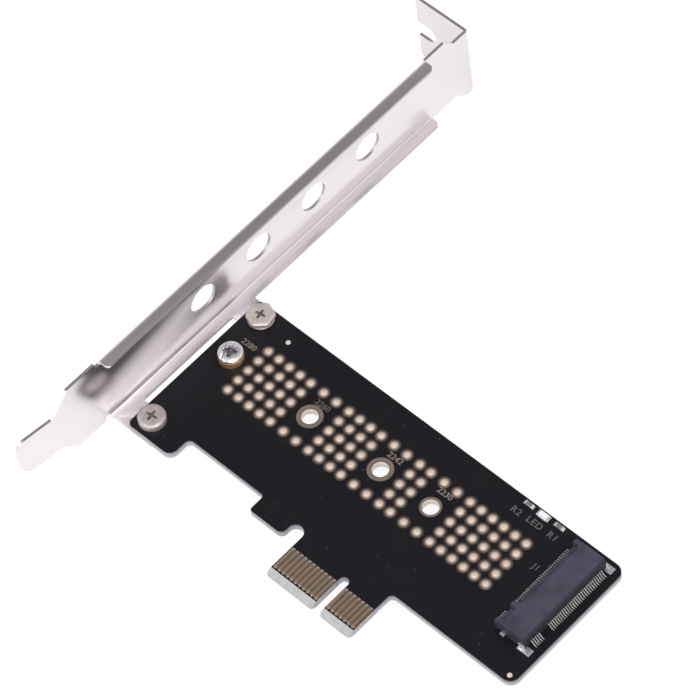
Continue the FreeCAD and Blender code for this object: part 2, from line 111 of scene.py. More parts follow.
class Wiring:
    """Adds nodes to one node tree and feeds their inputs."""

    def __init__(self, tree: NodeTree) -> None:
        """Keep the tree that the nodes go into."""
        self.tree = tree

    @classmethod
    def group(cls, name: str, kind: str, inputs: dict[str, str],
              outputs: dict[str, str]) -> tuple["Wiring", Sockets]:
        """Make a node group with its sockets.

        Args:
            name: Name of the group.
            kind: Blender's name for the type of tree.
            inputs: Type of each input.
            outputs: Type of each output.

        Returns:
            The group's wiring, and the sockets that bring its inputs.
        """
        tree = bpy.data.node_groups.new(name, kind)
        for way, sockets in (("INPUT", inputs), ("OUTPUT", outputs)):
            for label, value in sockets.items():
                tree.interface.new_socket(name=label, in_out=way, socket_type="NodeSocket" + value)
        wiring = cls(tree)
        return wiring, wiring.add("NodeGroupInput")

    def add(self, kind: str, feeds: Feeds | None = None, **settings: object) -> Sockets:
        """Add a node, set its properties and feed its inputs.

        Args:
            kind: Blender's name for the node type.
            feeds: For each input, the socket to link or the value to set.
            **settings: Properties of the node.

        Returns:
            The new node's outputs.
        """
        node = self.tree.nodes.new(kind)
        for name, value in settings.items():
            setattr(node, name, value)
        self.feed(node, feeds or {})
        return node.outputs

    def feed(self, node: Node, feeds: Feeds) -> None:
        """Feed a node's inputs.

        Args:
            node: The node.
            feeds: For each input, the socket to link or the value to set.
        """
        for name, value in feeds.items():
            if isinstance(value, NodeSocket):
                self.tree.links.new(value, node.inputs[name])
            else:
                node.inputs[name].default_value = value

    def maths(self, operation: str, *operands: object) -> NodeSocket:
        """Result of a Math node on sockets or numbers."""
        return self.add("ShaderNodeMath", dict(enumerate(operands)), operation=operation)[0]

    def span(self, value: NodeSocket, low: float, high: float, new_low: float = 0.0,
             new_high: float = 1.0) -> NodeSocket:
        """Map a socket from one span of numbers to another, clamped."""
        feeds = {"Value": value, "From Min": low, "From Max": high, "To Min": new_low, "To Max": new_high}
        return self.add("ShaderNodeMapRange", feeds, clamp=True)["Result"]

    def blend(self, factor: NodeSocket, first: object, second: object) -> NodeSocket:
        """Mix two colours, each a socket or a linear colour; the factor says how much of the second shows."""
        first, second = (end if isinstance(end, NodeSocket) else (*end, 1.0) for end in (first, second))
        return self.add("ShaderNodeMix", {"Factor": factor, 6: first, 7: second}, data_type="RGBA")[2]

    def noise(self, vector: NodeSocket, scale: object, detail: float) -> NodeSocket:
        """Value of a noise at a place."""
        return self.add("ShaderNodeTexNoise", {"Vector": vector, "Scale": scale, "Detail": detail})["Fac"]

    def split(self, vector: NodeSocket) -> Sockets:
        """X, Y and Z of a vector."""
        return self.add("ShaderNodeSeparateXYZ", {"Vector": vector})

    def place(self) -> NodeSocket:
        """The place on the surface, in the piece's own coordinates."""
        return self.add("ShaderNodeTexCoord")["Object"]


class EffectLibrary:
    """Builds each shared shader effect once and hands it out."""

    def __init__(self) -> None:
        """Start with no effects built."""
        self._groups: dict[Effect, NodeTree] = {}

    def use(self, wiring: Wiring, effect: Effect, feeds: Feeds) -> Sockets:
        """Set an effect's group into a material, building it the first time.

        Args:
            wiring: Wiring of the material.
            effect: Which effect.
            feeds: Socket or value for each of its inputs.

        Returns:
            The effect's outputs.
        """
        if effect not in self._groups:
            makers = {Effect.GRAIN: self._grain, Effect.SCUFF: self._scuff, Effect.DUST: self._dust}
            self._groups[effect] = makers[effect](effect.value)
        return wiring.add("ShaderNodeGroup", feeds, node_tree=self._groups[effect])

    @staticmethod
    def _grain(name: str) -> NodeTree:
        """Cloudy variation and fine grain from two noises.

        Args:
            name: Name of the group.

        Returns:
            The group.
        """
        wiring, given = Wiring.group(name, "ShaderNodeTree", {
            "Vector": "Vector", "Cloud Scale": "Float", "Grain Scale": "Float"}, {"Cloud": "Float", "Grain": "Float"})
        wiring.add("NodeGroupOutput", {
            part: wiring.span(wiring.noise(given["Vector"], given[part + " Scale"], detail), 0.3, 0.7)
            for part, detail in (("Cloud", 3.0), ("Grain", 4.0))})
        return wiring.tree

    @staticmethod
    def _scuff(name: str) -> NodeTree:
        """Thin scattered scratches from two crossed stretched noises.

        Args:
            name: Name of the group.

        Returns:
            The group.
        """
        wiring, given = Wiring.group(name, "ShaderNodeTree", {
            "Vector": "Vector", "Scale": "Float", "Share": "Float"}, {"Mask": "Float"})
        masks = []
        for turn in (0.35, -0.95):
            mapped = wiring.add("ShaderNodeMapping", {
                "Vector": given["Vector"], "Rotation": (turn, 0.3 * turn, turn), "Scale": (0.06, 1.0, 1.0)})
            value = wiring.noise(mapped["Vector"], given["Scale"], 2.0)
            line = wiring.maths("ABSOLUTE", wiring.maths("SUBTRACT", value, 0.5))
            masks.append(wiring.span(line, 0.0, 0.012, 1.0, 0.0))
        mask = wiring.maths("MULTIPLY", wiring.maths("MAXIMUM", *masks), given["Share"])
        wiring.add("NodeGroupOutput", {"Mask": mask})
        return wiring.tree

    @staticmethod
    def _dust(name: str) -> NodeTree:
        """Specks of uneven size at some cell centres, gathered in patches.

        Args:
            name: Name of the group.

        Returns:
            The group.
        """
        cell_scale, patch_scale, speck = 1000.0, 90.0, 0.10
        wiring, given = Wiring.group(name, "ShaderNodeTree", {"Vector": "Vector"}, {"Mask": "Float"})
        ragged = wiring.noise(given["Vector"], cell_scale * 3, 2.0)
        patches = wiring.noise(given["Vector"], patch_scale, 1.0)
        cells = wiring.add("ShaderNodeTexVoronoi", {"Vector": given["Vector"], "Scale": cell_scale})
        chance = wiring.add("ShaderNodeSeparateColor", {"Color": cells["Color"]})
        size = wiring.maths("MULTIPLY", wiring.span(chance["Green"], 0.0, 1.0, 0.5, 1.8), speck)
        reach = wiring.maths("ADD", cells["Distance"], wiring.span(ragged, 0.3, 0.7, -0.05, 0.05))
        inside = wiring.maths("LESS_THAN", reach, size)
        chosen = wiring.maths("GREATER_THAN", chance["Red"], wiring.span(patches, 0.45, 0.62, 0.97, 0.55))
        soft = wiring.span(chance["Blue"], 0.0, 1.0, 0.35)
        mask = wiring.maths("MULTIPLY", wiring.maths("MULTIPLY", inside, chosen), soft)
        wiring.add("NodeGroupOutput", {"Mask": mask})
        return wiring.tree


@dataclass(frozen=True)
class Finish:
    """A surface finish: its two screen colours, gloss, grain, scuffs and dust.

    Sizes are in millimetres; stretch lengthens the grain along an axis where it is above one.
    """

    name: str
    colour: Screen
    shade: Screen
    metallic: float = 0.0
    roughness: float = 0.5
    swing: float = 0.1
    cloud: float = 1.0
    grain: float = 0.12
    stretch: Point = (1.0, 1.0, 1.0)
    relief: float = 0.002
    grain_tint: float = 0.0
    scuffs: float = 0.0
    scuff_size: float = 1.2
    scuff_roughness: float = 0.35
    dust: float = 0.0
    dust_colour: Screen = (150, 152, 164)
    coat: float = 0.0
    coat_roughness: float = 0.15
    specular: float = 0.5
    bump: float = 0.5

    def material(self, effects: EffectLibrary) -> Material:
        """Build the finish as a node material.

        Args:
            effects: Library that the shared effects come from.

        Returns:
            The material.
        """
        material = bpy.data.materials.new(self.name)
        material.use_nodes = True
        wiring = Wiring(material.node_tree)
        place = wiring.place()
        mapped = wiring.add("ShaderNodeMapping", {
            "Vector": place, "Scale": tuple(1.0 / along for along in self.stretch)})
        grain = effects.use(wiring, Effect.GRAIN, {
            "Vector": mapped["Vector"], "Cloud Scale": 1.0 / (self.cloud * MM),
            "Grain Scale": 1.0 / (self.grain * MM)})
        blend = grain["Cloud"]
        if self.grain_tint:
            blend = wiring.maths("ADD", wiring.maths("MULTIPLY", grain["Grain"], self.grain_tint),
                                 wiring.maths("MULTIPLY", grain["Cloud"], 1.0 - self.grain_tint))
        colour = self.tint(wiring, wiring.blend(blend, linear(self.colour), linear(self.shade)))
        rough = wiring.span(grain["Cloud"], 0.0, 1.0,
                            self.roughness - self.swing / 2, self.roughness + self.swing / 2)
        if self.scuffs:
            marks = effects.use(wiring, Effect.SCUFF, {
                "Vector": place, "Scale": 1.0 / (self.scuff_size * MM), "Share": self.scuffs})
            rough = wiring.maths("ADD", rough, wiring.maths("MULTIPLY", marks["Mask"], self.scuff_roughness))
        if self.dust:
            specks = effects.use(wiring, Effect.DUST, {"Vector": place})
            share = wiring.maths("MULTIPLY", specks["Mask"], self.dust)
            colour = wiring.blend(share, colour, linear(self.dust_colour))
        bump = wiring.add("ShaderNodeBump", {
            "Strength": self.bump, "Distance": self.relief * MM, "Height": grain["Grain"]})
        wiring.feed(material.node_tree.nodes["Principled BSDF"], {
            "Base Color": colour, "Metallic": self.metallic, "Roughness": rough,
            "Specular IOR Level": self.specular, "Coat Weight": self.coat,
            "Coat Roughness": self.coat_roughness, "Normal": bump["Normal"]})
        return material

    def tint(self, wiring: Wiring, colour: NodeSocket) -> NodeSocket:
        """Return the colour as it is; finishes with a pattern of their own change it here."""
        return colour


@dataclass(frozen=True)
class PlyFinish(Finish):
    """Sawn glass-epoxy edge, with plies as bands along Z and painted shade darkening it toward its upper rim.

    The painted shade is weaker on the tongue. Lengths are in millimetres.
    """

    ply: float = 0.2
    ply_share: float = 0.4
    rim: float = 0.1
    painted_shade_depth: float = 0.75
    painted_shade_share: float = 0.9
    painted_shade_fade_y: Spot = (5.5, 8.5)
    tongue_share: float = 0.2
    band: Screen = (168, 168, 171)
    shadow: Screen = (96, 95, 99)

    def tint(self, wiring: Wiring, colour: NodeSocket) -> NodeSocket:
        """Mix the plies and the painted shade into the colour.

        Args:
            wiring: Wiring of the material.
            colour: Colour so far.

        Returns:
            The banded colour.
        """
        axes = wiring.split(wiring.place())
        height = axes["Z"]
        wave = wiring.maths("SINE", wiring.maths("MULTIPLY", height, math.tau / (self.ply * MM)))
        banded = wiring.blend(wiring.span(wave, -1.0, 1.0, 0.0, self.ply_share), colour, linear(self.band))
        # Painted shade: darker toward the upper rim, weaker on the tongue.
        depth = wiring.span(height, -self.painted_shade_depth * MM, -self.rim * MM, 0.0, self.painted_shade_share)
        kept = wiring.span(axes["Y"], *(level * MM for level in self.painted_shade_fade_y), self.tongue_share)
        return wiring.blend(wiring.maths("MULTIPLY", depth, kept), banded, linear(self.shadow))


@dataclass(frozen=True)
class EndedFinish(Finish):
    """Plated strips, one to each pitch along X, paler toward both ends along Y; lengths in millimetres."""

    fade: float = 0.55
    end_share: float = 0.75
    pitch: float = 1.0
    side_span: Spot = (0.45, 0.8)
    end: Screen = (176, 163, 156)
    side: Screen = (104, 86, 68)

    def tint(self, wiring: Wiring, colour: NodeSocket) -> NodeSocket:
        """Mix the paler colour over both ends and the darker one down one side.

        Args:
            wiring: Wiring of the material.
            colour: Colour so far.

        Returns:
            The colour with its ends.
        """
        axes = wiring.split(wiring.place())
        low, high, fade = FINGER_LOW * MM, FINGER_HIGH * MM, self.fade * MM
        foot = wiring.span(axes["Y"], low, low + fade, self.end_share, 0.0)
        head = wiring.span(axes["Y"], high - fade, high, 0.0, self.end_share)
        across = wiring.maths("FRACT", wiring.maths("MULTIPLY", axes["X"], 1.0 / (self.pitch * MM)))
        shaded = wiring.blend(wiring.span(across, *self.side_span), colour, linear(self.side))
        return wiring.blend(wiring.maths("MAXIMUM", foot, head), shaded, linear(self.end))


class Finishes:
    """Every finish on the card, and the materials made from them."""

    MASK = Finish("mask_black", (12, 11, 19), (8, 8, 14), roughness=0.42, cloud=14, grain=0.25, relief=0.0015,
                  dust=0.14, specular=0.32)
    LAMINATE = PlyFinish("laminate_edge", (196, 195, 199), (182, 182, 186), roughness=0.7, swing=0.15,
                         cloud=2.5, relief=0.01)
    BEVEL = Finish("laminate_bevel", (180, 184, 182), (166, 168, 168), roughness=0.7, swing=0.15, cloud=1.2,
                   relief=0.01)
    BARE_FACE = Finish("bare_laminate", (98, 82, 64), (78, 64, 50), roughness=0.6, cloud=1.5, relief=0.003)
    NICKEL = Finish("nickel_sheet", (240, 234, 237), (234, 228, 231), metallic=1.0, roughness=0.26, swing=0.05,
                    cloud=18, grain=0.5, stretch=(1, 10, 1), relief=0.0004)
    SHEARED = Finish("sheared_edge", (204, 200, 201), (182, 178, 179), metallic=0.9, roughness=0.45,
                     swing=0.12, cloud=2, grain=0.2, stretch=(1, 4, 1), relief=0.0015)
    WARM_NICKEL = Finish("warm_nickel", (216, 206, 202), (204, 194, 190), metallic=0.8, roughness=0.58,
                         swing=0.08, cloud=1.5, grain=0.2, relief=0.0015, scuffs=0.1)
    WORN_NICKEL = Finish("worn_nickel", (206, 197, 196), (184, 175, 174), metallic=0.8, roughness=0.54,
                         cloud=1.2, grain=0.25, scuffs=0.15)
    # Darker finishes on the walls of the cross recesses are painted shade.
    RECESS_PAINTED_SHADE = Finish("recess_wall", (138, 130, 126), (112, 105, 102), metallic=0.7, cloud=0.6, grain=0.1)
    BRIGHT_RECESS_PAINTED_SHADE = Finish("bright_recess_wall", (170, 170, 175), (104, 102, 106), metallic=1.0, roughness=0.3,
                           cloud=0.35, grain=0.1)
    CHROME = Finish("bright_plate", (240, 240, 242), (224, 223, 226), metallic=1.0, roughness=0.12, swing=0.06,
                    cloud=1.2, grain=0.3, relief=0.0006, scuffs=0.1, scuff_size=1.0)
    BRASS = Finish("turned_brass", (232, 200, 168), (208, 164, 126), metallic=0.9, roughness=0.42,
                   stretch=(6, 6, 1), relief=0.0015)
    TIN = Finish("tinned_pin", (184, 180, 179), (150, 146, 146), metallic=0.7, swing=0.12, cloud=0.8, grain=0.1)
    PLATE = Finish("tinned_plate", (240, 237, 242), (208, 203, 212), metallic=0.85, roughness=0.36, swing=0.3,
                   cloud=0.7, grain=0.15, relief=0.003)
    SOLDER = Finish("solder", (236, 234, 234), (200, 197, 198), metallic=0.8, roughness=0.36, swing=0.2,
                    cloud=0.5, grain=0.1, relief=0.004)
    FINGER = EndedFinish("finger_gold", (150, 132, 114), (124, 107, 90), metallic=0.35, roughness=0.4,
                         cloud=0.5, stretch=(1, 12, 1), grain_tint=0.5)
    DOT_HALO = Finish("dot_halo", (50, 40, 35), (42, 34, 30), grain=0.15)
    DOT_SKIRT = Finish("dot_skirt", (84, 70, 62), (70, 58, 51), metallic=0.1, grain=0.15)
    DOT_RIM = Finish("dot_rim", (124, 108, 97), (106, 91, 81), metallic=0.2, grain=0.15)
    DOT_SIDE = Finish("dot_side", (168, 152, 138), (150, 134, 122), metallic=0.2, cloud=3.0, grain=0.15)
    DOT = Finish("dot_plate", (199, 185, 168), (186, 168, 157), metallic=0.15, swing=0.15, cloud=3.0, grain=0.2)
    DOT_HEART = Finish("dot_heart", (221, 207, 186), (210, 192, 183), metallic=0.15, swing=0.15, cloud=3.0,
                       grain=0.2)
    DOT_EYE = Finish("dot_eye", (176, 146, 124), (158, 128, 110), metallic=0.2, cloud=0.4, grain=0.1)
    RING = Finish("ring_plate", (129, 116, 105), (115, 102, 91), metallic=0.25, roughness=0.45, cloud=1.5)
    RING_INNER = Finish("ring_inner", (112, 98, 88), (98, 85, 76), metallic=0.25, roughness=0.45)
    BARREL = Finish("hole_barrel", (255, 248, 238), (250, 240, 228), metallic=0.4, roughness=0.35, cloud=0.8,
                    grain=0.1)
    HOUSING = Finish("slate_moulding", (66, 66, 82), (46, 47, 60), roughness=0.55, swing=0.12, cloud=4,
                     relief=0.003, dust=0.05, specular=0.4)
    # Darker moulding on the rear wall only: painted shade.
    HOUSING_REAR_PAINTED_SHADE = Finish("slate_moulding_rear", (44, 43, 52), (34, 33, 41), roughness=0.6, swing=0.12,
                          cloud=4, relief=0.003, specular=0.3)
    LEGEND = Finish("legend_ink", (140, 130, 117), (110, 102, 92), roughness=0.6, cloud=0.5, grain_tint=0.5)
    LEGEND_FAINT = Finish("legend_faint", (99, 96, 99), (74, 72, 76), roughness=0.6, cloud=0.5, grain_tint=0.6)
    CERAMIC = Finish("resistor_body", (122, 119, 127), (96, 94, 102), roughness=0.45, cloud=0.5, grain=0.1,
                     relief=0.004)
    LAMP_WHITE = Finish("lamp_base", (232, 232, 235), (214, 214, 218), roughness=0.45, cloud=0.8, grain=0.1,
                        relief=0.003)
    LAMP_MILK = Finish("lamp_lens", (238, 238, 242), (218, 219, 226), roughness=0.3, cloud=0.4, grain=0.15,
                       relief=0.004, coat=0.3)

    def __init__(self) -> None:
        """Start with no materials made."""
        self._effects = EffectLibrary()
        self._made: dict[str, Material] = {}

    def get(self, *looks: Finish) -> list[Material]:
        """Return the materials of finishes, making each the first time.

        Args:
            *looks: The finishes wanted.

        Returns:
            Their materials, in order.
        """
        for finish in looks:
            if finish.name not in self._made:
                self._made[finish.name] = finish.material(self._effects)
        return [self._made[finish.name] for finish in looks]


# ---------------------------------------------------------------- mesh parts

def to_object(name: str, mesh: bpy.types.Mesh, materials: Sequence[Material] = ()) -> Object:
    """Put a mesh in the scene as an object at the origin.

    Args:
        name: Name of the piece.
        mesh: Its mesh, already in place.
        materials: Materials to add, where the mesh has none.

    Returns:
        The object.
    """
    mesh.name = name
    for material in materials:
        mesh.materials.append(material)
    piece = bpy.data.objects.new(name, mesh)
    bpy.context.scene.collection.objects.link(piece)
    return piece


def shade(mesh: bpy.types.Mesh, sharp_deg: float) -> None:
    """Shade a mesh smooth, but for the edges that turn by more than an angle."""
    mesh.polygons.foreach_set("use_smooth", [True] * len(mesh.polygons))
    mesh.set_sharp_from_angle(angle=math.radians(sharp_deg))


def from_bmesh(name: str, work: BMesh, materials: Sequence[Material], sharp_deg: float = 30.0) -> Object:
    """Finish a bmesh as a smooth-shaded object whose corners stay crisp.

    Args:
        name: Name of the piece.
        work: The bmesh; it is freed.
        materials: Its materials.
        sharp_deg: Edges that turn by more than this stay sharp.

    Returns:
        The object.
    """
    mesh = bpy.data.meshes.new(name)
    work.to_mesh(mesh)
    work.free()
    shade(mesh, sharp_deg)
    return to_object(name, mesh, materials)


def evaluated_mesh(piece: Object) -> bpy.types.Mesh:
    """Plain mesh of an object as its modifiers leave it."""
    graph = bpy.context.evaluated_depsgraph_get()
    return bpy.data.meshes.new_from_object(piece.evaluated_get(graph), depsgraph=graph)


def bake(piece: Object) -> None:
    """Turn an object with modifiers into a plain mesh of the same name.

    Args:
        piece: The object; its modifiers go.
    """
    mesh, old = evaluated_mesh(piece), piece.data
    piece.modifiers.clear()
    piece.data = mesh
    mesh.name = piece.name
    bpy.data.meshes.remove(old)


def join_rings(work: BMesh, rings: Sequence[Sequence[BMVert]]) -> None:
    """Skin neighbouring rings of vertices, where a ring of one vertex closes an end.

    Args:
        work: The bmesh that holds them.
        rings: The rings in order.
    """
    for lower, upper in zip(rings, rings[1:]):
        turns = max(len(lower), len(upper))
        for k in range(turns):
            after = (k + 1) % turns
            corners = (lower[k % len(lower)], lower[after % len(lower)],
                       upper[after % len(upper)], upper[k % len(upper)])
            work.faces.new(list(dict.fromkeys(corners)))
    bmesh.ops.recalc_face_normals(work, faces=work.faces)


def lathe(profile: Sequence[Spot], centre: Spot, turns: int, closed: bool = False) -> BMesh:
    """Turn a profile about a vertical axis.

    Args:
        profile: Radius and height of each corner in millimetres, from the lower end to the upper one.
        centre: X and Y of the axis in millimetres.
        turns: Faces round the axis.
        closed: Whether the last corner joins the first, which leaves a hole along the axis.

    Returns:
        A closed bmesh, in metres.
    """
    work = bmesh.new()
    rings = []
    for radius, height in profile:
        angles = [math.tau * k / turns for k in range(turns)] if radius > 0 else [0.0]
        rings.append([work.verts.new(((centre[0] + radius * math.cos(angle)) * MM,
                                      (centre[1] + radius * math.sin(angle)) * MM, height * MM))
                      for angle in angles])
    join_rings(work, rings + rings[:1] if closed else rings)
    return work


def box(name: str, low: Point, high: Point, materials: Sequence[Material]) -> Object:
    """Build a box between two corners.

    Args:
        name: Name of the piece.
        low: Lowest corner in millimetres.
        high: Highest corner.
        materials: Its material.

    Returns:
        The box.
    """
    work = bmesh.new()
    bmesh.ops.create_cube(work, size=1.0)
    size = [(end - start) * MM for start, end in zip(low, high)]
    middle = [(start + end) / 2 * MM for start, end in zip(low, high)]
    work.transform(Matrix.Translation(middle) @ Matrix.Diagonal((*size, 1.0)))
    return from_bmesh(name, work, materials)


@dataclass(frozen=True)
class PointArray:
    """A Geometry Nodes tree that sets one template on every point and makes the result real."""

    name: str
    template: Object
    seed: int = 7

    def build(self, points: Sequence[Point], finish: Material, swing: float = 0.0) -> Object:
        """Set the template on the points.

        Args:
            points: Places in millimetres.
            finish: Material of every copy.
            swing: Largest random turn about Z, in radians.

        Returns:
            The finished piece as a plain mesh.
        """
        mesh = bpy.data.meshes.new(self.name)
        mesh.from_pydata([tuple(MM * value for value in point) for point in points], [], [])
        piece = to_object(self.name, mesh)
        modifier = piece.modifiers.new("array", "NODES")
        modifier.node_group = self._tree()
        given = {"Template": self.template, "Finish": finish, "Turn": swing, "Seed": self.seed}
        for item in modifier.node_group.interface.items_tree:
            if item.name in given:
                modifier[item.identifier] = given[item.name]
        bake(piece)
        bpy.data.objects.remove(self.template)
        return piece

    def _tree(self) -> NodeTree:
        """Build the node tree with its named inputs.

        Returns:
            The tree.
        """
        wiring, given = Wiring.group(self.name, "GeometryNodeTree", {
            "Geometry": "Geometry", "Template": "Object", "Finish": "Material", "Turn": "Float", "Seed": "Int"},
            {"Geometry": "Geometry"})
        spots = wiring.add("GeometryNodeMeshToPoints", {"Mesh": given["Geometry"]})
        info = wiring.add("GeometryNodeObjectInfo", {"Object": given["Template"]})
        least = wiring.maths("MULTIPLY", given["Turn"], -1.0)
        random = wiring.add("FunctionNodeRandomValue", {2: least, 3: given["Turn"], "Seed": given["Seed"]},
                            data_type="FLOAT")
        turn = wiring.add("ShaderNodeCombineXYZ", {"Z": random[1]})
        copies = wiring.add("GeometryNodeInstanceOnPoints", {
            "Points": spots["Points"], "Instance": info["Geometry"], "Rotation": turn["Vector"]})
        real = wiring.add("GeometryNodeRealizeInstances", {"Geometry": copies["Instances"]})
        dressed = wiring.add("GeometryNodeSetMaterial", {"Geometry": real["Geometry"], "Material": given["Finish"]})
        wiring.add("NodeGroupOutput", {"Geometry": dressed["Geometry"]})
        return wiring.tree


@dataclass
class Assembly:
    """What every sub-assembly shares: the CAD nodes by name and the card's finishes."""

    nodes: dict[str, Object]
    finishes: Finishes

    def add(self, piece: Object, slot: str, *replaced: str) -> None:
        """Make a piece ride on the card, and say what it replaces.

        Args:
            piece: The piece.
            slot: Not used.
            *replaced: CAD nodes that it stands for.
        """
        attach(piece, BODY)
        if replaced:
            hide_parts(*replaced)
        LOG.info("piece %s: %d faces, for %s", piece.name, len(piece.data.polygons), replaced or "itself")

    def dress(self, node: str, finish: Finish) -> None:
        """Give a CAD node its finish.

        Args:
            node: Name of the node.
            finish: The finish.
        """
        materials = self.nodes[node].data.materials
        materials.clear()
        materials.append(*self.finishes.get(finish))
        LOG.info("node %s: %s", node, finish.name)

    def ease(self, node: str, slot: str, ease_mm: float, *looks: Finish, name: str = "", segments: int = 2,
             pick: Callable[[BMFace], int] | None = None) -> None:
        """Replace a CAD node by a merged copy with eased edges.

        Args:
            node: Name of the node.
            slot: Handed on to add, which does not use it.
            ease_mm: Width of the eased edges.
            *looks: Finishes of the copy.
            name: Name of the copy, where it isn't the node's name with an ending.
            segments: Faces across each eased edge.
            pick: Says which finish a face takes; all take the first without it.
        """
        name = name or node + "_eased"
        work = bmesh.new()
        work.from_mesh(self.nodes[node].data)
        bmesh.ops.remove_doubles(work, verts=work.verts, dist=MERGE_MM * MM)
        bmesh.ops.dissolve_limit(work, angle_limit=math.radians(FLAT_DEG), verts=work.verts, edges=work.edges)
        bmesh.ops.recalc_face_normals(work, faces=work.faces)
        if pick:
            for face in work.faces:
                face.material_index = pick(face)
        mesh = bpy.data.meshes.new(name)
        work.to_mesh(mesh)
        work.free()
        piece = to_object(name, mesh, self.finishes.get(*looks))
        bevel = piece.modifiers.new("ease", "BEVEL")
        bevel.width = ease_mm * MM
        bevel.segments = segments
        bevel.limit_method = "ANGLE"
        bevel.angle_limit = math.radians(EASED_DEG)
        bevel.harden_normals = False
        bake(piece)
        shade(piece.data, SHARP_DEG)
        self.add(piece, slot, node)


# ---------------------------------------------------------------- the card's sub-assemblies

@dataclass(frozen=True)
class DotBand:
    """One round layer of a plated dot: its radius and span of heights in millimetres, and its finish."""

    name: str
    radius: float
    high: float
    finish: Finish
    low: float = 0.0
    replaced: tuple[str, ...] = ()


@dataclass(frozen=True)
class Legend:
    """One printed word: its middle and height in millimetres."""

    text: str
    x: float
    y: float
    height: float
    faint: bool = False


@dataclass
class CircuitBoard(Assembly):
    """The board with its plated dots, rings, fingers and printed legends; sizes in millimetres."""

    board_ease: float = 0.06
    flat: float = 0.98
    upright: float = 0.1
    pitch: float = 2.705
    rows: int = 5
    top_row_y: float = 34.40
    blocks: tuple[tuple[float, int], ...] = ((-44.35, 5), (-23.90, 4), (-6.25, 2), (6.10, 6))
    bridge: float = 1.60
    dot_turns: int = 28
    dot_edge: float = 0.02
    dot_sharp_deg: float = 50
    dot_bands: tuple[DotBand, ...] = (
        DotBand("dot_rims", 0.97, 0.030, Finishes.DOT_RIM, replaced=("thermal_pads",)),
        DotBand("dot_halos", 1.32, 0.010, Finishes.DOT_HALO),
        DotBand("dot_skirts", 1.13, 0.020, Finishes.DOT_SKIRT),
        DotBand("dot_sides", 0.82, 0.037, Finishes.DOT_SIDE),
        DotBand("dot_faces", 0.66, 0.044, Finishes.DOT),
        DotBand("dot_hearts", 0.46, 0.049, Finishes.DOT_HEART),
        DotBand("dot_eyes", 0.11, 0.053, Finishes.DOT_EYE),
        DotBand("dot_undersides", 0.86, -BOARD_T, Finishes.DOT, low=-BOARD_T - 0.03),
    )
    hole_xs: tuple[float, ...] = (-28.65, -11.0, 1.35)
    hole_y: float = 28.99
    hole_r: float = 1.65
    rings: tuple[tuple[str, float, float], ...] = (
        ("hole_ring_60", 1.86, 2.525), ("hole_ring_42", 1.86, 2.525), ("hole_ring_30", 1.72, 2.10))
    ring_turns: int = 72
    ring_rise: float = 0.05
    inner_rise: float = 0.045
    under_ring_r: float = 2.525
    under_ring_drop: float = 0.04
    finger_fields: tuple[Spot, ...] = ((-12.0, -1.0), (1.0, 8.0))
    window_high: float = 6.62
    window_rise: float = 0.012
    finger_first: float = 1.50
    finger_counts: tuple[int, int] = (11, 7)
    tail_low: float = 1.64
    tail_width: float = 0.42
    tail_thick: float = 0.03
    ink_rise: float = 0.012
    ink_thick: float = 0.004
    ink_bold: float = 0.011
    word_spacing: float = 1.12
    code_spacing: float = 1.02
    code_length: int = 4
    ink_steps: int = 3
    legends: tuple[Legend, ...] = (
        Legend("2280", -48.1, 33.20, 1.22), Legend("2260", -28.4, 32.25, 1.22, True),
        Legend("2242", -10.5, 32.50, 1.22), Legend("2230", 1.5, 32.75, 1.22),
        Legend("R2", 13.72, 38.39, 1.36, True), Legend("LED", 17.94, 38.53, 1.36, True),
        Legend("R1", 22.09, 38.51, 1.36, True), Legend("J1", 24.0, 31.72, 1.56, True),
    )

    def build(self) -> None:
        """Build everything on the board."""
        self.ease("board", "solder_mask", self.board_ease, Finishes.MASK, Finishes.LAMINATE,
                  Finishes.BARREL, Finishes.BEVEL, segments=1, pick=self._look)
        self._dots()
        self._rings()
        for node in ("fingers_front", "fingers_back"):
            self.dress(node, Finishes.FINGER)
        self._finger_windows()
        self._finger_tails()
        self.dress("fiducials", Finishes.DOT_HEART)
        for index, legend in enumerate(self.legends):
            self._legend(index, legend)

    def _look(self, face: BMFace) -> int:
        """Say which finish a face of the board takes.

        Args:
            face: The face.

        Returns:
            0 for the mask, 1 for the laminate, 2 for a hole's wall, 3 for the tongue's bevel.
        """
        if abs(face.normal.z) > self.flat:
            return 0
        if abs(face.normal.z) > self.upright:
            return 3
        middle = face.calc_center_median() / MM
        near = (math.hypot(middle.x - x, middle.y - self.hole_y) < self.hole_r * HOLE_MARGIN for x in self.hole_xs)
        return 2 if any(near) else 1

    def _finger_tails(self) -> None:
        """Short plated tails that run from the fingers down to the bevel."""
        gold = self.finishes.get(Finishes.FINGER)
        half = self.tail_width / 2
        template = box("finger_tail_template", (-half, self.tail_low, 0.0),
                       (half, FINGER_LOW, self.tail_thick), gold)
        places = [(side * (self.finger_first + k), 0.0, 0.0)
                  for side, count in zip((-1, 1), self.finger_counts) for k in range(count)]
        self.add(PointArray("finger_tails", template).build(places, *gold), "finger_gold")

    def _finger_windows(self) -> None:
        """Windows in the mask between the fingers, where the laminate shows on both faces."""
        for side, (x0, x1) in enumerate(self.finger_fields):
            for name, low in (("front", 0.0), ("back", -BOARD_T - self.window_rise)):
                piece = box(f"finger_window_{name}_{side}", (x0, FINGER_LOW, low),
                            (x1, self.window_high, low + self.window_rise), self.finishes.get(Finishes.BARE_FACE))
                self.add(piece, "solder_mask")

    def dot_places(self) -> list[Spot]:
        """Middles of the dots, in full columns between the holes and pairs that bridge each hole.

        Returns:
            X and Y of each dot in millimetres.
        """
        rows = [self.top_row_y - self.pitch * k for k in range(self.rows)]
        places = [(start + self.pitch * k, y) for start, count in self.blocks for k in range(count) for y in rows]
        for x in self.hole_xs:
            places += [(x + side, y) for side in (-self.bridge, self.bridge) for y in (rows[0], rows[-1])]
        return places

